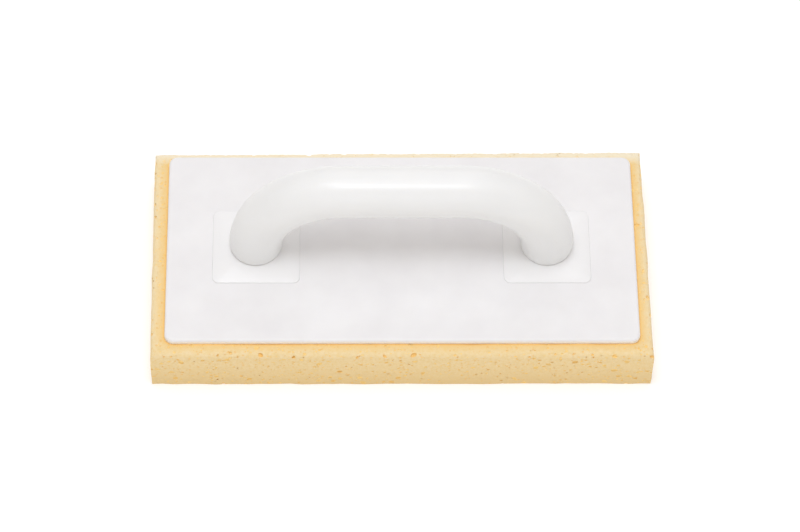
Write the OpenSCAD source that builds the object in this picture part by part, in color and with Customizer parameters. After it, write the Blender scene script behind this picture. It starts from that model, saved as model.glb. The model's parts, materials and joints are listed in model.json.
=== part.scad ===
// Sponge grout float: a foam block glued under a plastic plate, with a closed handle
// that stands on two square feet. Millimetres, +Z up. X runs along the float, -Y is its
// front, and the origin is the middle of the foam's underside.

/* [Foam block] */
// Length of the foam block
foam_len = 280; // [232:1:340]
// Width of the foam block
foam_wid = 140; // [100:1:180]
// Thickness of the foam block
foam_thk = 28.7; // [15:0.1:45]
// Radius of the block's upright corners
foam_corner_r = 2.5; // [2:0.1:8]
// Radius of the block's top edges
foam_edge_r = 1.8; // [0.5:0.1:2]

/* [Plate] */
// How much foam shows past each end of a centred plate
end_margin = 7.5; // [3:0.1:8]
// How much foam shows past the front and the back of a centred plate
side_margin = 6.8; // [3:0.1:12]
// Thickness of the plate
plate_thk = 3; // [2:0.1:5]
// Radius of the plate's corners
plate_corner_r = 5; // [2:0.1:15]
// Radius of the plate's top edges
plate_edge_r = 1.4; // [0.3:0.1:1.5]
// How far the plate was glued off the foam's middle, along the float
plate_shift_x = 0.6; // [-2:0.1:2]
// How far the plate was glued off the foam's middle, across the float
plate_shift_y = 1.4; // [-2:0.1:2]
// Thickness of the glue film
glue_thk = 0.3; // [0.1:0.1:1]
// How far the glue film stops short of the plate's edge
glue_inset = 0.4; // [0.2:0.1:5]

/* [Feet] */
// Side of the square foot
foot_side = 49.2; // [42:0.1:60]
// Height of the foot's rim above the plate
foot_rim_h = 1; // [0.8:0.1:2]
// How far the foot's top rises from the rim to the leg
foot_rise = 1.2; // [0.4:0.1:3]
// Radius of the foot's corners
foot_corner_r = 3.5; // [1:0.1:6]
// Length of the spigot that stands in the leg
spigot_len = 11; // [9:0.1:13]
// Wall of the spigot
spigot_wall = 2.1; // [1.5:0.1:2.6]
// How far the locking ring stands out from the spigot
ring_out = 0.8; // [0.4:0.1:1]
// Height of the locking ring
ring_h = 1.8; // [1:0.1:2.5]
// Height of the locking ring's lower side above the foot's top
ring_z = 6; // [4:0.1:6.5]
// How far each screw boss runs into the spigot's wall
boss_merge = 0.5; // [0.2:0.1:1]
// Clearance all round between a spigot and its socket
spigot_gap = 0.1; // [0.05:0.01:0.2]

/* [Handle] */
// Distance between the middles of the two legs
leg_span = 164; // [130:1:200]
// Height of the grip's middle line above the plate
grip_h = 53.8; // [42:0.1:68]
// Diameter of the handle
grip_d = 29.4; // [28.6:0.1:36]
// Wall of the handle's shells
grip_wall = 2.8; // [2:0.1:3]
// Length of the straight stretch at the bottom of each leg
leg_straight = 3; // [3:0.1:10]
// Radius that rounds each leg under at its bottom
leg_round = 3; // [1:0.1:3]
// Wall of the leg round its socket
socket_wall = 4.7; // [4:0.1:5]
// Room left over the spigot in its socket
socket_room = 1; // [0.5:0.1:3]
// Width of the tongue along the seam
tongue_w = 1; // [0.6:0.1:1.4]
// How far the tongue stands out of the seam
tongue_h = 1; // [0.5:0.1:1.5]
// Clearance all round the tongue in its groove
tongue_gap = 0.08; // [0.05:0.01:0.2]

/* [Screws] */
// Outer diameter of the screw's thread
screw_d = 4; // [3:0.1:5]
// Length of the screw, head included
screw_len = 14; // [12:0.1:15]
// Diameter of the screw's head
screw_head_d = 7.6; // [6:0.1:8.4]
// Height of the screw's head
screw_head_h = 2.2; // [1.5:0.1:2.6]
// Diameter of the boss round each screw
boss_d = 7; // [6:0.1:8]
// Clearance all round the screw in the foot
thread_gap = 0.05; // [0.02:0.01:0.1]
// Clearance all round the screw in the plate
screw_gap = 0.3; // [0.1:0.05:0.5]
// Width of each arm of the cross in the head
cross_w = 1.1; // [0.8:0.1:1.4]
// Length of the cross in the head
cross_len = 4.4; // [3:0.1:5]
// Depth of the cross in the head
cross_depth = 1.6; // [1:0.1:2]

/* [Hidden] */

foam_colour = [0.93, 0.82, 0.61];
glue_colour = [0.90, 0.72, 0.40];
white_colour = [0.94, 0.94, 0.93];
foot_colour = [0.95, 0.95, 0.95];
handle_colour = [0.96, 0.96, 0.955];
steel_colour = [0.70, 0.71, 0.72];

$fn = 96;
slack = 0.5;

// The plate's size, and the heights of the layers
plate_len = foam_len - 2 * end_margin;
plate_wid = foam_wid - 2 * side_margin;
glue_z = foam_thk;
plate_z = glue_z + glue_thk;
foot_z = plate_z + plate_thk;
leg_z = foot_z + foot_rim_h + foot_rise;

// The handle's middle line: a short upright stretch, a quarter bend and a straight grip,
// so the bend's radius is what the height leaves over the upright stretch
half_span = leg_span / 2;
grip_z = foot_z + grip_h;
bend_z = leg_z + leg_straight;
bend_r = grip_z - bend_z;
bend_x = half_span - bend_r;
handle_r = grip_d / 2;
cavity_r = handle_r - grip_wall;
seam_r = handle_r - grip_wall / 2;
rim_r = min(leg_round, leg_straight);

// Each spigot fills its socket but for the clearance, and its two bosses stand inside it
socket_r = handle_r - socket_wall;
socket_depth = spigot_len + socket_room;
spigot_r = socket_r - spigot_gap;
ring_r = spigot_r + ring_out;
screw_pitch = 2 * (spigot_r - spigot_wall + boss_merge) - boss_d;
screw_r = screw_d / 2;
head_r = screw_head_d / 2;
far = foam_len;

// A flat slab with rounded corners and rounded top edges, its middle on the Z axis
module slab(len, wid, thk, corner_r, edge_r) {
    reach_x = len / 2 - corner_r;
    reach_y = wid / 2 - corner_r;
    translate([-reach_x, 0, 0])
        rotate([90, 0, 90])
            linear_extrude(2 * reach_x)
                slab_section(wid / 2, thk, edge_r);
    translate([0, reach_y, 0])
        rotate([90, 0, 0])
            linear_extrude(2 * reach_y)
                slab_section(len / 2, thk, edge_r);
    for (side_x = [-1, 1], side_y = [-1, 1])
        translate([side_x * reach_x, side_y * reach_y, 0])
            rotate_extrude()
                right_half()
                    slab_section(corner_r, thk, edge_r);
}

// Upright section of a slab: flat below, with both top corners rounded
module slab_section(half, thk, edge_r) {
    translate([-half, 0])
        square([2 * half, thk - edge_r]);
    translate([edge_r - half, 0])
        square([2 * (half - edge_r), thk]);
    for (side = [-1, 1])
        translate([side * (half - edge_r), thk - edge_r])
            circle(edge_r);
}

module right_half() {
    intersection() {
        children();
        translate([0, -far / 2])
            square([far, far]);
    }
}

// Puts what belongs to the plate where the plate was glued on
module on_plate() {
    translate([plate_shift_x, plate_shift_y, 0])
        children();
}

// Puts a thing at the middle of the left (-1) or right (1) leg
module at_leg(side) {
    on_plate()
        translate([side * half_span, 0, 0])
            children();
}

module sponge_block() {
    color(foam_colour)
        slab(foam_len, foam_wid, foam_thk, foam_corner_r, foam_edge_r);
}

module adhesive_film() {
    color(glue_colour)
        on_plate()
            translate([0, 0, glue_z])
                linear_extrude(glue_thk)
                    rounded_rect(plate_len - 2 * glue_inset, plate_wid - 2 * glue_inset, plate_corner_r);
}

module rounded_rect(len, wid, corner_r) {
    square([len - 2 * corner_r, wid], center = true);
    square([len, wid - 2 * corner_r], center = true);
    for (side_x = [-1, 1], side_y = [-1, 1])
        translate([side_x * (len / 2 - corner_r), side_y * (wid / 2 - corner_r)])
            circle(corner_r);
}

module base_plate() {
    color(white_colour)
        difference() {
            on_plate()
                translate([0, 0, plate_z])
                    slab(plate_len, plate_wid, plate_thk, plate_corner_r, plate_edge_r);
            for (side = [-1, 1], end = [-1, 1])
                at_screw(side, end)
                    screw_hole();
        }
}

// Puts a thing at one of a foot's two screws, at the plate's underside
module at_screw(side, end) {
    at_leg(side)
        translate([end * screw_pitch / 2, 0, plate_z])
            children();
}

// A hole for a screw that comes from below: the cone that its head seats on, and a way
// through with a clearance all round the shank
module screw_hole() {
    translate([0, 0, -slack])
        cylinder(h = screw_len + slack, r = screw_r + screw_gap);
    cylinder(h = screw_head_h, r1 = head_r, r2 = screw_r);
}

// The foot's square flange: a low rim, then four even slopes up to a flat top
module foot_flange() {
    intersection() {
        linear_extrude(foot_rim_h + foot_rise)
            rounded_rect(foot_side, foot_side, foot_corner_r);
        rotate([90, 0, 0])
            linear_extrude(foot_side, center = true)
                flange_section();
        rotate([90, 0, 90])
            linear_extrude(foot_side, center = true)
                flange_section();
    }
}

module flange_section() {
    half = foot_side / 2;
    top = handle_r - rim_r;
    high = foot_rim_h + foot_rise;
    polygon([[-half, 0], [half, 0], [half, foot_rim_h], [top, high], [-top, high], [-half, foot_rim_h]]);
}

// The spigot's outline turned about its axis: a tube with a locking ring near its top
module spigot_tube() {
    inner_r = spigot_r - spigot_wall;
    rotate_extrude() {
        translate([inner_r, 0])
            square([spigot_wall, spigot_len]);
        translate([inner_r + spigot_wall / 2, ring_z])
            square([spigot_wall / 2 + ring_out, ring_h]);
    }
}

module foot(side) {
    flange_h = foot_rim_h + foot_rise;
    color(foot_colour)
        difference() {
            at_leg(side) {
                translate([0, 0, foot_z])
                    foot_flange();
                translate([0, 0, leg_z])
                    spigot_tube();
                for (end = [-1, 1])
                    translate([end * screw_pitch / 2, 0, foot_z + flange_h / 2])
                        cylinder(h = spigot_len + flange_h / 2, d = boss_d);
            }
            for (end = [-1, 1])
                at_screw(side, end)
                    translate([0, 0, plate_thk - slack])
                        cylinder(h = far, r = screw_r + thread_gap);
        }
}

// Sweeps a flat section along the handle's middle line. In the section, X points away
// from the inside of the bends and Y towards the front.
module sweep_handle() {
    for (side = [0, 1])
        mirror([side, 0, 0]) {
            translate([half_span, 0, leg_z])
                linear_extrude(leg_straight)
                    mirror([0, 1, 0])
                        children();
            translate([bend_x, 0, bend_z])
                rotate([90, 0, 0])
                    rotate_extrude(angle = 90)
                        translate([bend_r, 0])
                            children();
        }
    translate([-bend_x, 0, grip_z])
        rotate([90, 0, 90])
            linear_extrude(2 * bend_x)
                rotate([0, 0, 90])
                    children();
}

// The outside of the whole handle, with the legs rounded under
module handle_outside() {
    difference() {
        sweep_handle()
            circle(handle_r);
        for (side = [-1, 1])
            translate([side * half_span, 0, leg_z])
                leg_end_trim();
    }
}

// What rounding a leg under takes away from it
module leg_end_trim() {
    rotate_extrude()
        difference() {
            translate([handle_r - rim_r, -slack])
                square([rim_r + slack, rim_r + slack]);
            translate([handle_r - rim_r, rim_r])
                circle(rim_r);
        }
}

// The hollow inside the handle, and the sockets that open it downwards
module handle_inside() {
    difference() {
        sweep_handle()
            circle(cavity_r);
        translate([-far / 2, -far / 2, leg_z - far])
            cube([far, far, far + socket_depth]);
    }
    for (side = [-1, 1])
        translate([side * half_span, 0, leg_z])
            socket();
}

module socket() {
    translate([0, 0, -slack])
        cylinder(h = socket_depth + 2 * slack, r = socket_r);
    translate([0, 0, ring_z - spigot_gap])
        cylinder(h = ring_h + 2 * spigot_gap, r = ring_r + spigot_gap);
}

// The tongue's path along both walls, from one side of the seam to the other
module seam_strips(wid, back, front) {
    sweep_handle()
        for (wall = [-1, 1])
            translate([wall * seam_r - wid / 2, -back])
                square([wid, back + front]);
}

// One half of the handle's shell: the front one is at -Y
module handle_half(facing) {
    difference() {
        intersection() {
            handle_outside();
            translate([-far / 2, facing < 0 ? -far : 0, 0])
                cube([far, far, far]);
        }
        handle_inside();
    }
}

module handle_front_half() {
    color(handle_colour)
        on_plate() {
            handle_half(-1);
            tongue();
        }
}

// The tongue is rooted in the front shell and stops short of the leg's rounded end
module tongue() {
    difference() {
        seam_strips(tongue_w, tongue_h, grip_wall / 2);
        translate([-far / 2, -far / 2, leg_z - far])
            cube([far, far, far + socket_depth + slack]);
    }
}

module handle_rear_half() {
    color(handle_colour)
        on_plate()
            difference() {
                handle_half(1);
                difference() {
                    seam_strips(tongue_w + 2 * tongue_gap, tongue_h + tongue_gap, slack);
                    translate([-far / 2, -far / 2, leg_z - far])
                        cube([far, far, far + socket_depth + slack - tongue_gap]);
                }
            }
}

module screw(side, end) {
    color(steel_colour)
        at_screw(side, end)
            difference() {
                screw_body();
                for (turn = [0, 90])
                    rotate([0, 0, turn])
                        translate([-cross_len / 2, -cross_w / 2, -slack])
                            cube([cross_len, cross_w, cross_depth + slack]);
            }
}

// A cone-shaped head that lies flush with the plate's underside, a shank and a blunt point
module screw_body() {
    cylinder(h = screw_head_h, r1 = head_r, r2 = screw_r);
    cylinder(h = screw_len - screw_r, r = screw_r);
    translate([0, 0, screw_len - screw_r])
        cylinder(h = screw_r, r1 = screw_r, r2 = screw_r / 3);
}

sponge_block();
adhesive_film();
base_plate();
foot(-1);  // left_foot
foot(1);  // right_foot
handle_front_half();
handle_rear_half();
screw(-1, -1);  // left_outer_screw
screw(-1, 1);  // left_inner_screw
screw(1, -1);  // right_inner_screw
screw(1, 1);  // right_outer_screw
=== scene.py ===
# %% [markdown]
# # A sponge grout float
# This lesson dresses a hand float that a tiler washes joints with: a thick block of cream
# foam, a thin white plate glued on top of it, and a closed white handle on two square
# feet. The CAD model gives every piece its place and its size. What is left for Blender
# is the foam with its open pores, the finish of each plastic, and the light.

import json
import math
import random

import bpy
import numpy as np
from mathutils import Matrix, Vector

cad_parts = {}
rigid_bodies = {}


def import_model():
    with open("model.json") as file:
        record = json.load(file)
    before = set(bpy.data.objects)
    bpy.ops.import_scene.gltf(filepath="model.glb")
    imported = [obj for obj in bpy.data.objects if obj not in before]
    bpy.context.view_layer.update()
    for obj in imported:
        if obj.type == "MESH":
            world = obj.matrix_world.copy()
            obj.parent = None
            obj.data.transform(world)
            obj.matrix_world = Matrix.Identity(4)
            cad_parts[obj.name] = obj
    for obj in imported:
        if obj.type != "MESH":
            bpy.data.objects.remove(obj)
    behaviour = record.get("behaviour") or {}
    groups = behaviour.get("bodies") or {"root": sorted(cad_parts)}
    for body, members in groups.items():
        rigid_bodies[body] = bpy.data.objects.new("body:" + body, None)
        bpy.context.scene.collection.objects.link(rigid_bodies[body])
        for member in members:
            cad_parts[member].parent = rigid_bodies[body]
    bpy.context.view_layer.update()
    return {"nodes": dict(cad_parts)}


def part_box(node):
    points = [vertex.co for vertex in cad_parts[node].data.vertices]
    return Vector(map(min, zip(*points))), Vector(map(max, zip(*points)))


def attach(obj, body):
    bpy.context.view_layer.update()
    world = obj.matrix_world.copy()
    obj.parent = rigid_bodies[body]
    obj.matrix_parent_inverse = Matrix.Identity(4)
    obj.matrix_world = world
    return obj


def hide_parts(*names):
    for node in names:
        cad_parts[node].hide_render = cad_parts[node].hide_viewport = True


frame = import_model()
nodes = frame["nodes"]
mm = 0.001
scene = bpy.context.scene
scene.view_settings.view_transform = "Standard"
print("nodes:", sorted(nodes))

# %% Where the main pieces are
foam_low, foam_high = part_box("sponge_block")
plate_low, plate_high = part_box("base_plate")
handle_low, handle_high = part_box("handle_front_half")
plate_middle = (plate_low + plate_high) / 2
foam_thick = foam_high.z - foam_low.z
print("foam is", round(foam_thick / mm, 1), "mm thick")

# %% [markdown]
# ## The camera
# The float is seen from the front and well above, from about two metres away with a long
# lens, so its sides hardly close towards each other. The camera stands a touch to one
# side and leans a touch, as a hand-set tripod does. Its three axes are built here one by
# one, which is easier to follow than a set of Euler angles.

# %% Camera
camera_height_angle = math.radians(55.80)
camera_side_angle = math.radians(2.13)
camera_lean = math.radians(1.74)
camera_distance = 2048 * mm
camera_aim = Vector((0.1, 10.2, 0)) * mm
film_width = 36.0
camera_lens = 160.45

looking = Vector((0, math.cos(camera_height_angle), -math.sin(camera_height_angle)))
rightwards = Vector((1, 0, 0))
upwards = rightwards.cross(looking)
right = rightwards * math.cos(camera_lean) + upwards * math.sin(camera_lean)
up = upwards * math.cos(camera_lean) - rightwards * math.sin(camera_lean)
to_side = Matrix.Rotation(-camera_side_angle, 3, "Z")
turned = to_side @ Matrix((right, up, -looking)).transposed()

bpy.ops.object.select_all(action="DESELECT")
bpy.ops.object.camera_add()
camera = bpy.context.object
camera.name = "studio_camera"
camera_place = to_side @ (camera_aim - looking * camera_distance)
camera.matrix_world = Matrix.Translation(camera_place) @ turned.to_4x4()
camera.data.lens = camera_lens
camera.data.sensor_width = film_width
camera.data.sensor_fit = "HORIZONTAL"
camera.data.clip_start = 0.05
camera.data.clip_end = 20
scene.camera = camera
print("camera at", [round(v, 3) for v in camera.matrix_world.translation])

# %% [markdown]
# ## Helpers for materials
# Each finish below is a small tree of nodes. A few helpers keep the trees readable: one
# adds a node and fills in its inputs, one starts a material with its Principled shader,
# and the others are the noise, range, mix, maths and bump nodes that the finishes share.
# Patterns read Object coordinates, which are the model's own metres, so a scale of 1000
# makes a feature of one millimetre.

# %% Material helpers
def add_node(tree, kind, inputs=None, **settings):
    made = tree.nodes.new(kind)
    for name, value in settings.items():
        setattr(made, name, value)
    for name, value in (inputs or {}).items():
        socket = made.inputs[name]
        if isinstance(value, bpy.types.NodeSocket):
            tree.links.new(value, socket)
        else:
            socket.default_value = value
    return made


def start_material(name):
    material = bpy.data.materials.new(name)
    material.use_nodes = True
    tree = material.node_tree
    shader = tree.nodes["Principled BSDF"]
    place = add_node(tree, "ShaderNodeTexCoord").outputs["Object"]
    return material, tree, shader, place


def noise(tree, place, size, detail=2.0, roughness=0.5):
    inputs = {"Vector": place, "Scale": 1 / size, "Detail": detail, "Roughness": roughness}
    return add_node(tree, "ShaderNodeTexNoise", inputs).outputs["Fac"]


def remap(tree, value, low, high, to_low=0.0, to_high=1.0):
    inputs = {"Value": value, "From Min": low, "From Max": high, "To Min": to_low, "To Max": to_high}
    return add_node(tree, "ShaderNodeMapRange", inputs).outputs["Result"]


def blend_colours(tree, amount, first, second):
    made = add_node(tree, "ShaderNodeMix", data_type="RGBA")
    for socket, value in ((made.inputs[0], amount), (made.inputs[6], first), (made.inputs[7], second)):
        if isinstance(value, bpy.types.NodeSocket):
            tree.links.new(value, socket)
        else:
            socket.default_value = value
    return made.outputs[2]


def calc(tree, operation, first, second=0.0):
    made = add_node(tree, "ShaderNodeMath", operation=operation)
    for socket, value in zip(made.inputs, (first, second)):
        if isinstance(value, bpy.types.NodeSocket):
            tree.links.new(value, socket)
        else:
            socket.default_value = value
    return made.outputs[0]


def product(tree, first, *others):
    for other in others:
        first = calc(tree, "MULTIPLY", first, other)
    return first


def bump(tree, height, distance, strength=1.0, under=None):
    inputs = {"Height": height, "Distance": distance, "Strength": strength}
    made = add_node(tree, "ShaderNodeBump", inputs)
    if under is not None:
        tree.links.new(under, made.inputs["Normal"])
    return made.outputs["Normal"]


# %% [markdown]
# ## White plastics
# Plate, feet and handle are separate mouldings whose whites differ a little, so each gets
# its own tone. Moulded plastic is never one flat white: faint clouds run through it, its
# skin has a grain that makes the gloss uneven, and a little light sinks in. The plate's
# lower edge is made nearly white: painted light that lifts the shade on its side wall and
# is not a colour of the plastic. One function makes all three finishes.

# %% White plastic
cloud_size = 30 * mm
grain_size = 0.5 * mm
# painted light: near white for the plate's side wall, lifting its shade
painted_light_edge_white = (0.99, 0.985, 0.98, 1)


def make_white_plastic(name, colour, cloud_colour, roughness, pale_below=None):
    material, tree, shader, place = start_material(name)
    clouds = noise(tree, place, cloud_size, 4.0, 0.55)
    colour_out = blend_colours(tree, remap(tree, clouds, 0.35, 0.7), colour, cloud_colour)
    if pale_below is not None:
        # painted light: the plate's side wall below this height is made near white against its shade
        height = add_node(tree, "ShaderNodeSeparateXYZ", {"Vector": place}).outputs["Z"]
        low = remap(tree, height, pale_below + 0.4 * mm, pale_below - 0.4 * mm)
        colour_out = blend_colours(tree, low, colour_out, painted_light_edge_white)
    tree.links.new(colour_out, shader.inputs["Base Color"])
    grain = noise(tree, place, grain_size, 3.0)
    gloss = remap(tree, grain, 0.3, 0.7, roughness - 0.05, roughness + 0.05)
    tree.links.new(gloss, shader.inputs["Roughness"])
    tree.links.new(bump(tree, grain, 0.01 * mm), shader.inputs["Normal"])
    shader.inputs["Subsurface Weight"].default_value = 0.15
    shader.inputs["Subsurface Radius"].default_value = (1.0, 0.95, 0.85)
    shader.inputs["Subsurface Scale"].default_value = 2 * mm
    shader.inputs["Specular IOR Level"].default_value = 0.4
    return material


def dress(node_name, material):
    mesh = nodes[node_name].data
    mesh.materials.clear()
    mesh.materials.append(material)


plate_white, plate_cloud = (0.835, 0.826, 0.831, 1), (0.882, 0.877, 0.879, 1)
foot_white, foot_cloud = (0.9, 0.898, 0.896, 1), (0.922, 0.92, 0.918, 1)
handle_white, handle_cloud = (0.857, 0.863, 0.856, 1), (0.88, 0.886, 0.878, 1)
# painted light starts 1 mm below the plate's top, on its side wall
painted_light_edge_top = plate_high.z - 1 * mm
plate_plastic = make_white_plastic("plate_plastic", plate_white, plate_cloud, 0.5, painted_light_edge_top)
foot_plastic = make_white_plastic("foot_plastic", foot_white, foot_cloud, 0.22)
handle_plastic = make_white_plastic("handle_plastic", handle_white, handle_cloud, 0.32)
dress("base_plate", plate_plastic)

# %% [markdown]
# ## Glue and screws
# The glue shows only as a thin line round the plate, and the screws are hidden under the
# foam, where they are a maker's guess, but the model has them all. The contact glue
# dries to a clear amber film, thicker in some places than in others. The four screws are
# zinc plated: the coat has a fine cloudy crystal pattern and is duller than bare steel.

# %% Glue film
amber, dark_amber = (0.86, 0.5, 0.13, 1), (0.72, 0.36, 0.07, 1)
glue, tree, shader, place = start_material("amber_glue")
thickness = noise(tree, place, 5 * mm, 3.0, 0.6)
colour = blend_colours(tree, remap(tree, thickness, 0.35, 0.65), amber, dark_amber)
tree.links.new(colour, shader.inputs["Base Color"])
tree.links.new(remap(tree, thickness, 0.3, 0.7, 0.25, 0.45), shader.inputs["Roughness"])
tree.links.new(bump(tree, thickness, 0.05 * mm), shader.inputs["Normal"])
dress("adhesive_film", glue)

# %% Zinc-plated screws
dull_zinc, bright_zinc = (0.56, 0.57, 0.6, 1), (0.68, 0.69, 0.7, 1)
zinc, tree, shader, place = start_material("zinc_plated_steel")
crystals = noise(tree, place, 0.8 * mm, 4.0, 0.6)
colour = blend_colours(tree, remap(tree, crystals, 0.35, 0.65), dull_zinc, bright_zinc)
tree.links.new(colour, shader.inputs["Base Color"])
tree.links.new(remap(tree, crystals, 0.3, 0.7, 0.28, 0.42), shader.inputs["Roughness"])
tree.links.new(bump(tree, crystals, 0.01 * mm), shader.inputs["Normal"])
shader.inputs["Metallic"].default_value = 1.0
for node_name in sorted(nodes):
    if node_name.endswith("_screw"):
        dress(node_name, zinc)

# %% [markdown]
# ## The foam block
# On the real float this is a slab of open-cell foam, cut from a larger bun with a band
# saw. The saw leaves faces that are nearly flat but never quite, and a hole wherever it
# cuts through a bubble, and use wears the top edges round. A texture alone would leave
# the outline of the block ruler-straight, so the bubbles are cut out of the mesh for
# real: a box is shaped first, then bubbles are taken away with booleans.

# %% Foam sizes
foam_edge_round = 2.4 * mm
foam_foot_round = 0.35 * mm
foam_grid = 6 * mm
foam_crease = math.radians(42)
foam_size = foam_high - foam_low
foam_middle = (foam_high + foam_low) / 2

# %% Foam block, cut and rounded
def edit_edges(thing, wanted):
    bpy.ops.object.mode_set(mode="OBJECT")
    mesh = thing.data
    mesh.vertices.foreach_set("select", [False] * len(mesh.vertices))
    mesh.polygons.foreach_set("select", [False] * len(mesh.polygons))
    count = 0
    for edge in mesh.edges:
        start, end = (mesh.vertices[i].co for i in edge.vertices)
        edge.select = bool(wanted(start, end))
        count += edge.select
    bpy.ops.object.mode_set(mode="EDIT")
    bpy.ops.mesh.select_mode(type="EDGE")
    return count


def near(value, target):
    return abs(value - target) < 0.01 * mm


bpy.ops.object.select_all(action="DESELECT")
bpy.ops.mesh.primitive_cube_add(size=1, location=foam_middle, scale=foam_size)
foam = bpy.context.object
foam.name = "foam_block"
bpy.ops.object.transform_apply(location=True, rotation=True, scale=True)


def on_rim(height):
    def wanted(start, end):
        return near(start.z, height) and near(end.z, height)
    return wanted


for name, height, rounding, segments in (
    ("top rim", foam_high.z, foam_edge_round, 6),
    ("bottom rim", foam_low.z, foam_foot_round, 3),
):
    print(name, "edges:", edit_edges(foam, on_rim(height)))
    bpy.ops.mesh.bevel(offset=rounding, segments=segments, affect="EDGES")
bpy.ops.object.mode_set(mode="OBJECT")

# %% Give the faces a grid
def grid_cuts(thing, axis, low, high, step):
    count = round((high - low) / step)
    normal = Vector([float(i == axis) for i in range(3)])
    bpy.ops.object.mode_set(mode="EDIT")
    for i in range(1, count):
        bpy.ops.mesh.select_all(action="SELECT")
        bpy.ops.mesh.bisect(plane_co=normal * (low + (high - low) * i / count), plane_no=normal)
    bpy.ops.object.mode_set(mode="OBJECT")
    return count - 1


for axis in range(3):
    cuts = grid_cuts(foam, axis, foam_low[axis], foam_high[axis], foam_grid)
    print("cuts across axis", axis, ":", cuts)

# %% Wavy saw cut
waves = bpy.data.textures.new("saw_waves", "CLOUDS")
waves.noise_scale = 12 * mm
waves.noise_depth = 2
wavy = foam.modifiers.new("saw_waves", "DISPLACE")
wavy.texture = waves
wavy.texture_coords = "LOCAL"
wavy.mid_level = 0.5
wavy.strength = 1.2 * mm
bpy.ops.object.modifier_apply(modifier=wavy.name)


# %% Out of square
def coordinates(mesh):
    flat = np.empty(len(mesh.vertices) * 3)
    mesh.vertices.foreach_get("co", flat)
    return flat.reshape(-1, 3)


ends_lean = -0.0058
back_lean = 0.0063
points = coordinates(foam.data)
towards_back = (points[:, 1] - foam_low.y) / foam_size.y
points[:, 0] += ends_lean * points[:, 1]
points[:, 1] += back_lean * points[:, 0] * towards_back
points[:, 2] = np.maximum(points[:, 2], foam_low.z)
foam.data.vertices.foreach_set("co", points.ravel())
foam.data.update()
print("foam in mm:", [round(v / mm, 1) for v in np.ptp(points, axis=0)])

# %% [markdown]
# ## Bubbles
# One bubble is an icosphere, a closed ball of small triangles. It is stamped at random
# places over the skin of the block, each time squeezed, turned and roughened a little
# differently, and small ones are likelier than large ones. The bubbles of one set stay
# clear of each other, because a boolean wants a clean closed cutter, but bubbles of
# different sets may meet, as they do in real foam. There are four sets: one of wide deep
# tears along the back edge, and a large, a middle and a small one for the rest.

# %% Where bubbles may sit
draw = random.Random(11)
torn_in, torn_down = 0.25 * mm, 0.8 * mm
under_plate = Vector((4, 4, 0)) * mm
hidden_low, hidden_high = plate_low + under_plate, plate_high - under_plate
half_x, half_y = foam_size.x / 2, foam_size.y / 2


def skewed(x, y):
    x += ends_lean * y
    return x, y + back_lean * x * (y + half_y) / foam_size.y


def side_spot():
    z = draw.uniform(foam_low.z, foam_high.z)
    along = draw.uniform(0, 2 * (foam_size.x + foam_size.y))
    if along < foam_size.x:
        return (along - half_x, -half_y, z), (0, -1, 0)
    along -= foam_size.x
    if along < foam_size.x:
        return (along - half_x, half_y, z), (0, 1, 0)
    along -= foam_size.x
    if along < foam_size.y:
        return (-half_x, along - half_y, z), (-1, 0, 0)
    return (half_x, along - foam_size.y - half_y, z), (1, 0, 0)


def top_spot():
    while True:
        x, y = draw.uniform(-half_x, half_x), draw.uniform(-half_y, half_y)
        if not (hidden_low.x < x < hidden_high.x and hidden_low.y < y < hidden_high.y):
            return (x, y, foam_high.z), (0, 0, 1)


def edge_spot():
    (x, y, z), (nx, ny, nz) = side_spot()
    inwards, downwards = draw.uniform(0.1, 1.6) * mm, draw.uniform(0.1, 1.6) * mm
    return (x - nx * inwards, y - ny * inwards, foam_high.z - downwards), (nx * 0.7, ny * 0.7, 0.7)


def torn_spot():
    along = draw.uniform(-1.06, 1.06)
    z = foam_high.z - torn_down
    if abs(along) < 1:
        return (along * half_x, half_y - torn_in, z), (0, 0.8, 0.6)
    side = math.copysign(1, along)
    y = draw.uniform(0.7, 1) * half_y
    return (side * (half_x - torn_in), y, z), (side * 0.8, 0, 0.6)


def under_spot():
    return (draw.uniform(-half_x, half_x), draw.uniform(-half_y, half_y), foam_low.z), (0, 0, -1)


# %% Stamp bubbles
bubble_spacing = 1.2
bubble_roughness = 0.16
tries_per_bubble = 20


def unit_ball(subdivisions):
    bpy.ops.object.select_all(action="DESELECT")
    bpy.ops.mesh.primitive_ico_sphere_add(subdivisions=subdivisions, radius=1, location=(0, 0, 0))
    ball = bpy.context.object
    verts = coordinates(ball.data)
    faces = np.array([list(face.vertices) for face in ball.data.polygons])
    bpy.data.objects.remove(ball)
    return verts, faces


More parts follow.
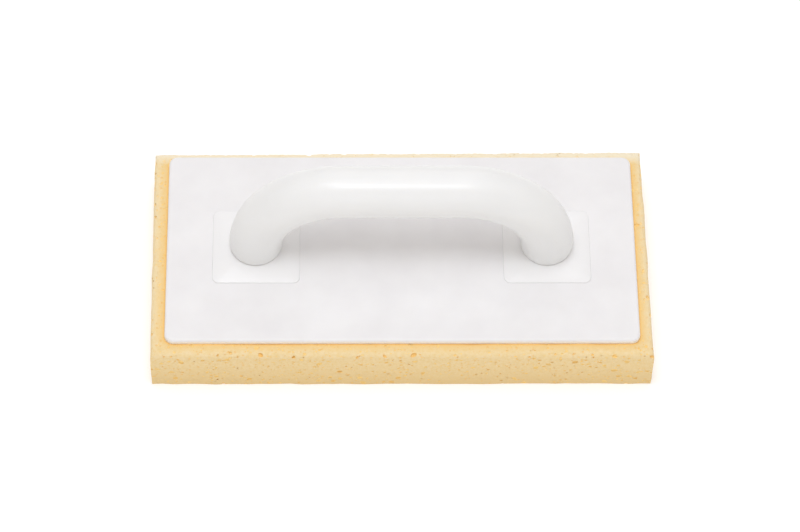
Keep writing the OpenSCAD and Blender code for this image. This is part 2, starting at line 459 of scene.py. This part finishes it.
def make_bubbles(name, spots, smallest, largest, subdivisions):
    ball, ball_faces = unit_ball(subdivisions)
    rough = np.random.default_rng(draw.randrange(10**6))
    taken, verts, faces = {}, [], []
    cell = largest * 1.8
    for kind, count in spots:
        for _ in range(count):
            for _ in range(tries_per_bubble):
                (x, y, z), normal = kind()
                reach = (smallest + (largest - smallest) * draw.random() ** 1.6) / 2
                wide = reach * draw.uniform(1.0, 1.45)
                low = reach * draw.uniform(0.75, 1.0)
                x, y = skewed(x, y)
                key = (int(x // cell), int(y // cell), int(z // cell))
                near_ones = (
                    other
                    for i in (-1, 0, 1)
                    for j in (-1, 0, 1)
                    for k in (-1, 0, 1)
                    for other in taken.get((key[0] + i, key[1] + j, key[2] + k), ())
                )
                spot = Vector((x, y, z))
                if all(
                    (spot - at).length > wide * bubble_spacing + size * bubble_spacing
                    for at, size in near_ones
                ):
                    break
            else:
                continue
            taken.setdefault(key, []).append((spot, wide))
            inward = -Vector(normal).normalized()
            flat = Vector((0, 0, 1)).cross(inward)
            flat = flat.normalized() if flat.length > 0.1 else Vector((1, 0, 0))
            sideways = abs(inward.z) < 0.9
            tilt = draw.uniform(-0.6, 0.6) if sideways else draw.uniform(0, 3.1)
            flat = Matrix.Rotation(tilt, 3, inward) @ flat
            side = inward.cross(flat)
            depth = reach * (1.0 if kind in (edge_spot, torn_spot) else 0.5)
            axes = np.array([flat * wide, side * low, inward * depth])
            bumps = rough.uniform(-bubble_roughness, bubble_roughness, (len(ball), 1))
            rugged = ball * (1 + bumps)
            centre = spot + inward * reach * draw.uniform(-0.3, 0.15)
            faces.append(ball_faces + len(verts) * len(ball))
            verts.append(rugged @ axes + np.array(centre))
    mesh = bpy.data.meshes.new(name)
    mesh.from_pydata(np.concatenate(verts).tolist(), [], np.concatenate(faces).tolist())
    bubbles = bpy.data.objects.new(name, mesh)
    bpy.context.collection.objects.link(bubbles)
    print(name, len(verts))
    return bubbles


# %% [markdown]
# ## Foam finish
# Foam is a mass of thin see-through walls, so light sinks in, scatters and comes out
# warmer: where bubbles are open it looks more orange. Along the outer top edge, less at the
# front, the foam is made paler. Round the plate it is deepened to orange with painted shade,
# and right at the plate's edge runs a thin line that is partly glue and partly painted
# crevice shade. Two more bands are painted: the foot of the block is darker with painted
# shade, and the top of its back edge is pale with painted light from the lamp behind. All
# bands follow the block, so they are worked out from Object coordinates: the distance to a
# rounded rectangle, made with plain maths. Many of the orange spots are colour only,
# because cutting every bubble into the mesh would make it too heavy.

# %% Foam colours
foam_base = (0.86, 0.645, 0.3, 1)
foam_light = (0.9, 0.725, 0.44, 1)
# painted shade: warm orange for the foam round the plate
plate_shade_orange = (0.885, 0.63, 0.275, 1)
# thin line at the plate's edge: partly glue, partly painted crevice shade
glue_and_crevice_orange = (0.93, 0.6, 0.22, 1)
# paler tone for the outer top edge
pale_rim_colour = (0.9, 0.76, 0.5, 1)
# painted shade for the foot of the block
foam_shade = (0.8, 0.6, 0.3, 1)
bubble_rim = (0.95, 0.7, 0.3, 1)
bubble_deep = (0.95, 0.66, 0.24, 1)
# painted light: pale tone for the top of the back edge, as lit by the lamp behind
painted_back_light = (0.92, 0.84, 0.66, 1)
foam_spot = (0.86, 0.54, 0.19, 1)


# %% Bands of colour on the foam
plate_corner = 5 * mm
foam_corner = 1 * mm
wobble_size, wobble_reach = 6 * mm, 3 * mm


def box_distance(tree, place, middle, half, corner):
    moved = add_node(tree, "ShaderNodeVectorMath", operation="SUBTRACT")
    tree.links.new(place, moved.inputs[0])
    moved.inputs[1].default_value = middle
    folded = add_node(tree, "ShaderNodeVectorMath", operation="ABSOLUTE")
    tree.links.new(moved.outputs[0], folded.inputs[0])
    split = add_node(tree, "ShaderNodeSeparateXYZ")
    tree.links.new(folded.outputs[0], split.inputs[0])
    past_x = calc(tree, "SUBTRACT", split.outputs["X"], half[0] - corner)
    past_y = calc(tree, "SUBTRACT", split.outputs["Y"], half[1] - corner)
    out_x, out_y = calc(tree, "MAXIMUM", past_x), calc(tree, "MAXIMUM", past_y)
    square_x, square_y = product(tree, out_x, out_x), product(tree, out_y, out_y)
    outside = calc(tree, "SQRT", calc(tree, "ADD", square_x, square_y))
    inside = calc(tree, "MINIMUM", calc(tree, "MAXIMUM", past_x, past_y), 0.0)
    return calc(tree, "SUBTRACT", calc(tree, "ADD", outside, inside), corner)


def foam_bands(tree, place):
    split = add_node(tree, "ShaderNodeSeparateXYZ", {"Vector": place})
    y, z = split.outputs["Y"], split.outputs["Z"]
    plate_half = (plate_high - plate_low) / 2
    from_plate = box_distance(tree, place, plate_middle, plate_half, plate_corner)
    from_side = box_distance(tree, place, foam_middle, foam_size / 2, foam_corner)
    below_top = calc(tree, "SUBTRACT", foam_high.z, z)
    on_top = remap(tree, below_top, 2.0 * mm, 0.3 * mm)
    ragged = calc(tree, "SUBTRACT", noise(tree, place, wobble_size, 3.0), 0.5)
    wobble = product(tree, ragged, wobble_reach)

    back_start, back_full = plate_high.y - 3 * mm, plate_high.y + 3 * mm
    behind = remap(tree, calc(tree, "ADD", y, wobble), back_start, back_full)
    off_back = calc(tree, "SUBTRACT", 1.0, behind)
    # painted shade: a band round the plate that fades out about 5.5 mm away
    plate_shade_band = remap(tree, calc(tree, "ADD", from_plate, wobble), 5.5 * mm, 0.6 * mm)
    # partly glue and partly painted crevice shade, within 1.6 mm of the plate
    glue_and_crevice_shade = remap(tree, from_plate, 1.6 * mm, 0.5 * mm)
    # a paler band along the outer top edge, weaker at the front
    corner_away = calc(tree, "SUBTRACT", calc(tree, "MAXIMUM", from_side, -1.0), below_top)
    pale_rim_mask = remap(tree, calc(tree, "ADD", corner_away, wobble), -4.5 * mm, -0.2 * mm)
    off_front = remap(tree, y, foam_low.y + 3 * mm, foam_low.y + 14 * mm, 0.25, 1.0)
    return {
        "plate_shade_band": product(tree, plate_shade_band, on_top, off_back),
        "glue_and_crevice_shade": product(tree, glue_and_crevice_shade, on_top, off_back),
        "pale_rim_mask": product(tree, pale_rim_mask, off_front),
        # painted shade: darker towards the bottom of the block
        "painted_low_shade": remap(tree, calc(tree, "ADD", z, wobble), 20 * mm, 0.0),
        # painted light along the top of the back edge
        "back_edge_light": product(tree, behind, remap(tree, below_top, 6 * mm, 0.5 * mm)),
    }


# %% Cells and spots
cell_size = 0.9 * mm
orange_spot_size = 2.3 * mm
swirl_size, swirl_reach = 1.2 * mm, 1.0 * mm


def voronoi(tree, place, size):
    inputs = {"Vector": place, "Scale": 1 / size, "Randomness": 1.0}
    return add_node(tree, "ShaderNodeTexVoronoi", inputs)


def cell_dots(tree, place):
    cells = voronoi(tree, place, cell_size)
    dots = remap(tree, cells.outputs["Distance"], 0.28, 0.1)
    gate = remap(tree, noise(tree, place, 1.6 * mm, 2.0), 0.48, 0.62)
    return product(tree, dots, gate)


def orange_spots(tree, place):
    inputs = {"Vector": place, "Scale": 1 / swirl_size, "Detail": 2.0}
    swirl = add_node(tree, "ShaderNodeTexNoise", inputs).outputs["Color"]
    inputs = {"Vector": swirl, "Scale": swirl_reach}
    push = add_node(tree, "ShaderNodeVectorMath", inputs, operation="SCALE")
    swirled = add_node(tree, "ShaderNodeVectorMath", operation="ADD")
    tree.links.new(place, swirled.inputs[0])
    tree.links.new(push.outputs[0], swirled.inputs[1])
    spots = voronoi(tree, swirled.outputs[0], orange_spot_size)
    chance = add_node(tree, "ShaderNodeSeparateColor", {"Color": spots.outputs["Color"]})
    reach = remap(tree, chance.outputs[0], 0.35, 1.0, 0.0, 0.42)
    return remap(tree, calc(tree, "SUBTRACT", reach, spots.outputs["Distance"]), 0.0, 0.16)


# %% Foam skin
foam_skin, tree, shader, place = start_material("foam_skin")
bands = foam_bands(tree, place)
dots = cell_dots(tree, place)
spots = orange_spots(tree, place)
mottle = noise(tree, place, 2 * mm, 5.0, 0.8)
colour = blend_colours(tree, remap(tree, mottle, 0.38, 0.62), foam_base, foam_light)
for amount, layer_colour in (
    (product(tree, dots, 0.6), bubble_deep),
    # painted shade round the plate
    (bands["plate_shade_band"], plate_shade_orange),
    # painted shade low on the block
    (bands["painted_low_shade"], foam_shade),
    (product(tree, spots, 0.7), foam_spot),
    (product(tree, bands["pale_rim_mask"], 0.75), pale_rim_colour),
    # glue line deepened with painted crevice shade
    (bands["glue_and_crevice_shade"], glue_and_crevice_orange),
    # painted light at the top of the back edge
    (product(tree, bands["back_edge_light"], 0.85), painted_back_light),
):
    colour = blend_colours(tree, amount, colour, layer_colour)
tree.links.new(colour, shader.inputs["Base Color"])
fuzz = noise(tree, place, 0.35 * mm, 3.0, 0.7)
tree.links.new(remap(tree, fuzz, 0.3, 0.7, 0.82, 0.96), shader.inputs["Roughness"])
pits = bump(tree, calc(tree, "SUBTRACT", 1.0, dots), 0.15 * mm, 0.4)
tree.links.new(bump(tree, fuzz, 0.1 * mm, 0.6, pits), shader.inputs["Normal"])
shader.inputs["Specular IOR Level"].default_value = 0.15

# %% Inside the bubbles
foam_pore, tree, shader, place = start_material("foam_pore")
bands = foam_bands(tree, place)
mottle = noise(tree, place, 1.2 * mm, 3.0, 0.6)
colour = blend_colours(tree, remap(tree, mottle, 0.35, 0.65), bubble_rim, bubble_deep)
colour = blend_colours(tree, product(tree, bands["pale_rim_mask"], 0.7), colour, pale_rim_colour)
# painted light at the top of the back edge
colour = blend_colours(tree, product(tree, bands["back_edge_light"], 0.8), colour, painted_back_light)
tree.links.new(colour, shader.inputs["Base Color"])
fuzz = noise(tree, place, 0.3 * mm, 3.0, 0.7)
tree.links.new(remap(tree, fuzz, 0.3, 0.7, 0.85, 0.97), shader.inputs["Roughness"])
tree.links.new(bump(tree, fuzz, 0.1 * mm, 0.7), shader.inputs["Normal"])
shader.inputs["Specular IOR Level"].default_value = 0.1

# %% [markdown]
# ## Cutting
# Each set of bubbles is one object and one boolean, because four booleans are far faster
# than thousands. The bubbles carry the pore finish, and the boolean passes it on to the
# walls that it cuts, so skin and pores never need to be told apart by hand.

# %% Cut the bubbles out
foam.data.materials.append(foam_skin)


def all_over(sides, top, edge, under):
    return (side_spot, sides), (top_spot, top), (edge_spot, edge), (under_spot, under)


bubble_sets = (
    ("torn_bubbles", ((torn_spot, 260),), 1.8 * mm, 3.8 * mm, 2),
    ("large_bubbles", all_over(230, 50, 25, 70), 1.6 * mm, 3.2 * mm, 2),
    ("middle_bubbles", all_over(1000, 420, 150, 200), 0.95 * mm, 1.6 * mm, 2),
    ("small_bubbles", all_over(560, 380, 150, 180), 0.55 * mm, 1.0 * mm, 1),
)
for name, spots, smallest, largest, subdivisions in bubble_sets:
    bubbles = make_bubbles(name, spots, smallest, largest, subdivisions)
    bubbles.data.materials.append(foam_pore)
    bpy.ops.object.select_all(action="DESELECT")
    foam.select_set(True)
    bpy.context.view_layer.objects.active = foam
    cut = foam.modifiers.new(name, "BOOLEAN")
    cut.operation = "DIFFERENCE"
    cut.solver = "MANIFOLD"
    cut.object = bubbles
    cut.material_mode = "TRANSFER"
    bpy.ops.object.modifier_apply(modifier=cut.name)
    bpy.data.objects.remove(bubbles)
    print("foam faces now", len(foam.data.polygons))

# %% [markdown]
# ## Crumbs
# Where bubbles meet, a boolean can leave a chip of foam that hangs on nothing. Real foam
# sheds such crumbs when it is brushed. Here one vertex at a bottom corner of the block is
# selected, then all that is linked to it, and whatever is left over is deleted.

# %% Clear the crumbs
corner_vertex = min(foam.data.vertices, key=lambda vertex: sum(vertex.co)).index
bpy.ops.object.mode_set(mode="EDIT")
bpy.ops.mesh.select_mode(type="VERT")
bpy.ops.mesh.select_all(action="DESELECT")
bpy.ops.object.mode_set(mode="OBJECT")
foam.data.vertices[corner_vertex].select = True
bpy.ops.object.mode_set(mode="EDIT")
bpy.ops.mesh.select_linked()
bpy.ops.mesh.select_all(action="INVERT")
bpy.ops.mesh.delete(type="VERT")
bpy.ops.object.mode_set(mode="OBJECT")
bpy.ops.object.shade_smooth_by_angle(angle=foam_crease)
foam.data.calc_loop_triangles()
print("foam triangles:", len(foam.data.loop_triangles))
print("foam finishes:", [material.name for material in foam.data.materials])
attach(foam, "root")
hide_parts("sponge_block")

# %% [markdown]
# ## The handle
# To the eye the handle is one bent tube of white plastic, a little thicker at its legs than
# at the grip, and its legs end in a soft rounding that stands on the feet. It could be a
# curve with a bevel, but a spun mesh gives full control of the thickness ring by ring. So
# half of it is made: one ring of edges starts in the middle of the grip, is drawn out
# along it, spun down round the bend and drawn down to the foot. A mirror makes the rest.

# %% Handle sizes
rear_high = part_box("handle_rear_half")[1]
handle_middle = Vector(((handle_low.x + handle_high.x) / 2, (handle_low.y + rear_high.y) / 2, 0))
tube_radius = (rear_high.y - handle_low.y) / 2
grip_height = handle_high.z - tube_radius
leg_reach = (handle_high.x - handle_low.x) / 2 - tube_radius
leg_bottom = handle_low.z
leg_straight = 3 * mm
bend_radius = grip_height - leg_bottom - leg_straight
bend_start = leg_reach - bend_radius
grip_radius = tube_radius - 0.2 * mm
leg_radius = tube_radius + 0.3 * mm
toe_radius = leg_radius - 1.3 * mm
toe_height = 6 * mm
toe_ring_heights = [height * mm for height in (2.2, 1.5, 1.0, 0.6, 0.3, 0.1, 0)]
tube_sides, grip_steps, bend_steps = 56, 6, 24
handle_crease = math.radians(50)
print("grip", round(grip_height / mm, 1), "mm up, bend radius", round(bend_radius / mm, 1))


# %% Half of the tube
def leg_end(height):
    part = min(1.0, height / toe_height)
    return toe_radius + (leg_radius - toe_radius) * math.sqrt(max(0.0, 1 - (1 - part) ** 2.2))


def scale_ring(factor, centre):
    bpy.ops.transform.resize(value=(factor, factor, factor), center_override=centre)


def draw_out(step):
    bpy.ops.mesh.extrude_region_move(TRANSFORM_OT_translate={"value": step})


bpy.ops.object.select_all(action="DESELECT")
ring_centre = handle_middle + Vector((0, 0, grip_height))
bpy.ops.mesh.primitive_circle_add(
    vertices=tube_sides, radius=grip_radius, location=ring_centre, rotation=(0, math.pi / 2, 0)
)
handle = bpy.context.object
handle.name = "handle_tube"
bpy.ops.object.transform_apply(location=True, rotation=True, scale=True)
bpy.ops.object.mode_set(mode="EDIT")
bpy.ops.mesh.select_mode(type="EDGE")
bpy.ops.mesh.select_all(action="SELECT")
for _ in range(grip_steps):
    draw_out((bend_start / grip_steps, 0, 0))

# %% The bend
bend_centre = handle_middle + Vector((bend_start, 0, grip_height - bend_radius))
radius_now = grip_radius
for step in range(1, bend_steps + 1):
    bpy.ops.mesh.spin(steps=1, angle=-math.pi / 2 / bend_steps, center=bend_centre, axis=(0, 1, 0))
    turn = math.pi / 2 * step / bend_steps
    centre = bend_centre + Vector((math.sin(turn), 0, math.cos(turn))) * bend_radius
    radius_next = grip_radius + (leg_radius - grip_radius) * step / bend_steps
    radius_next *= leg_end(centre.z - leg_bottom) / leg_radius
    scale_ring(radius_next / radius_now, centre)
    radius_now = radius_next

# %% Leg, and its soft end
leg_middle = handle_middle + Vector((leg_reach, 0, 0))
bend_end = grip_height - bend_radius
toe_rings = [bend_end - leg_bottom] + toe_ring_heights
for before, height in zip(toe_rings, toe_rings[1:]):
    draw_out((0, 0, height - before))
    scale_ring(leg_end(height) / radius_now, leg_middle + Vector((0, 0, leg_bottom + height)))
    radius_now = leg_end(height)
bpy.ops.mesh.extrude_region_move()
scale_ring(0.8, leg_middle + Vector((0, 0, leg_bottom)))
bpy.ops.mesh.edge_face_add()
bpy.ops.object.mode_set(mode="OBJECT")

# %% The other half
bpy.ops.object.select_all(action="DESELECT")
bpy.ops.object.empty_add(location=handle_middle)
mirror_plane = bpy.context.object
bpy.context.view_layer.objects.active = handle
twin = handle.modifiers.new("other_half", "MIRROR")
twin.mirror_object = mirror_plane
twin.merge_threshold = 0.01 * mm
bpy.ops.object.modifier_apply(modifier=twin.name)
bpy.data.objects.remove(mirror_plane)
bpy.ops.object.select_all(action="DESELECT")
handle.select_set(True)
bpy.ops.object.mode_set(mode="EDIT")
bpy.ops.mesh.select_all(action="SELECT")
bpy.ops.mesh.remove_doubles(threshold=0.01 * mm)
bpy.ops.mesh.normals_make_consistent(inside=False)
bpy.ops.object.mode_set(mode="OBJECT")
bpy.ops.object.shade_smooth_by_angle(angle=handle_crease)
print("handle in mm:", [round(v / mm, 1) for v in np.ptp(coordinates(handle.data), axis=0)])

handle.data.materials.append(handle_plastic)
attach(handle, "root")
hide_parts("handle_front_half", "handle_rear_half")

# %% [markdown]
# ## The feet
# Each leg stands on a square foot, a low moulded tile that rises gently from its rim to
# the leg. A plain box would look like a sticker. So the box gets its top face inset and
# lifted, which makes the four slopes, and then every edge that light can catch is
# bevelled: wide on the corners and the lines between two slopes, narrow on the rim.

# %% Foot sizes
foot_rim = 0.6 * mm
foot_corner_round = 3.2 * mm
foot_rim_round = 0.45 * mm
toe_margin = 0.4 * mm
foot_crease = math.radians(40)


# %% Make a foot
def top_face(thing, height):
    bpy.ops.object.mode_set(mode="OBJECT")
    mesh = thing.data
    for vertex in mesh.vertices:
        vertex.select = near(vertex.co.z, height)
    for part in (*mesh.edges, *mesh.polygons):
        part.select = all(mesh.vertices[i].select for i in part.vertices)
    bpy.ops.object.mode_set(mode="EDIT")
    bpy.ops.mesh.select_mode(type="FACE")


def make_foot(node_name):
    low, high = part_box(node_name)
    side = high.x - low.x
    middle = Vector(((low.x + high.x) / 2, (low.y + high.y) / 2, low.z + foot_rim / 2))
    bpy.ops.object.select_all(action="DESELECT")
    bpy.ops.mesh.primitive_cube_add(size=1, location=middle, scale=(side, side, foot_rim))
    made = bpy.context.object
    made.name = node_name + "_tile"
    bpy.ops.object.transform_apply(location=True, rotation=True, scale=True)
    top_face(made, low.z + foot_rim)
    bpy.ops.mesh.inset(thickness=side / 2 - toe_radius + toe_margin, depth=0)
    bpy.ops.transform.translate(value=(0, 0, leg_bottom - low.z - foot_rim))

    def corner_or_hip(start, end):
        ends = [point for point in (start, end) if near(abs(point.x - middle.x), side / 2)]
        step = end - start
        upright = near(step.x, 0) and near(step.y, 0)
        return upright or (len(ends) == 1 and abs(abs(step.x) - abs(step.y)) < 0.1 * mm)

    print(node_name, "corners and hips:", edit_edges(made, corner_or_hip))
    bpy.ops.mesh.bevel(offset=foot_corner_round, segments=6, affect="EDGES")

    def rim(start, end):
        ends = (start, end)
        level = all(near(point.z, low.z + foot_rim) for point in ends)
        reaches = [max(abs(point.x - middle.x), abs(point.y - middle.y)) for point in ends]
        return level and min(reaches) > side / 2 - foot_corner_round

    print(node_name, "rim:", edit_edges(made, rim))
    bpy.ops.mesh.bevel(offset=foot_rim_round, segments=4, affect="EDGES")
    bpy.ops.object.mode_set(mode="OBJECT")
    bpy.ops.object.shade_smooth_by_angle(angle=foot_crease)
    made.data.materials.append(foot_plastic)
    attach(made, "root")
    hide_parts(node_name)


for node_name in ("left_foot", "right_foot"):
    make_foot(node_name)

# %% [markdown]
# ## The floor
# The float stands on white studio paper. A plane of one plain tone is enough, because
# the paper runs on past the edge of the view. A little glow of its own keeps it white
# with less light on it, so that the lamps need not wash out the foam.

# %% Floor
paper_white, paper_glow = 0.7, 0.42
bpy.ops.object.select_all(action="DESELECT")
bpy.ops.mesh.primitive_plane_add(size=8, location=(0, 0, 0))
floor = bpy.context.object
floor.name = "studio_floor"
floor_paper, tree, shader, place = start_material("floor_paper")
shader.inputs["Base Color"].default_value = (paper_white, paper_white, paper_white, 1)
shader.inputs["Roughness"].default_value = 0.9
shader.inputs["Specular IOR Level"].default_value = 0.1
shader.inputs["Emission Color"].default_value = (1, 1, 1, 1)
shader.inputs["Emission Strength"].default_value = paper_glow
floor.data.materials.append(floor_paper)

# %% [markdown]
# ## The light
# Two small lamps high above, one a little to the front and one a little to the left, draw
# the short soft shadows. Wider and weaker lamps in front, behind and at both sides fill
# them, and one above the back puts the shine on the grip. The lamps are a touch cool and
# the sky a touch warm, which keeps the white plastic neutral beside the cream foam.

# %% Lights
lamp_tint = (0.965, 1.0, 1.055)
lamp_aim = Vector((0, 0, 0))
sky_tint, sky_strength = (1.0, 0.935, 0.885, 1), 0.54


def soft_light(name, place, width, power):
    bpy.ops.object.select_all(action="DESELECT")
    bpy.ops.object.light_add(type="AREA", location=place)
    lamp = bpy.context.object
    lamp.name = name
    lamp.data.shape = "RECTANGLE"
    lamp.data.size = lamp.data.size_y = width
    lamp.data.energy = power
    lamp.data.color = lamp_tint
    lamp.rotation_mode = "QUATERNION"
    lamp.rotation_quaternion = (lamp_aim - Vector(place)).to_track_quat("-Z", "Y")


soft_light("key_light", (0, -0.26, 1.48), width=0.3, power=4.25)
soft_light("left_key_light", (-0.26, 0, 1.48), width=0.3, power=2.1)
soft_light("front_light", (0, -1.33, 0.68), width=0.9, power=1.9)
soft_light("right_light", (0.75, 0, 1.3), width=0.9, power=1.4)
soft_light("left_light", (-0.75, 0, 1.3), width=0.9, power=0.9)
soft_light("back_light", (0, 1.15, 0.96), width=0.9, power=1.75)
soft_light("shine_light", (0, 0.39, 1.45), width=0.45, power=1.2)

world = bpy.data.worlds.new("studio_world")
scene.world = world
world.use_nodes = True
sky = world.node_tree.nodes["Background"]
sky.inputs["Color"].default_value = sky_tint
sky.inputs["Strength"].default_value = sky_strength
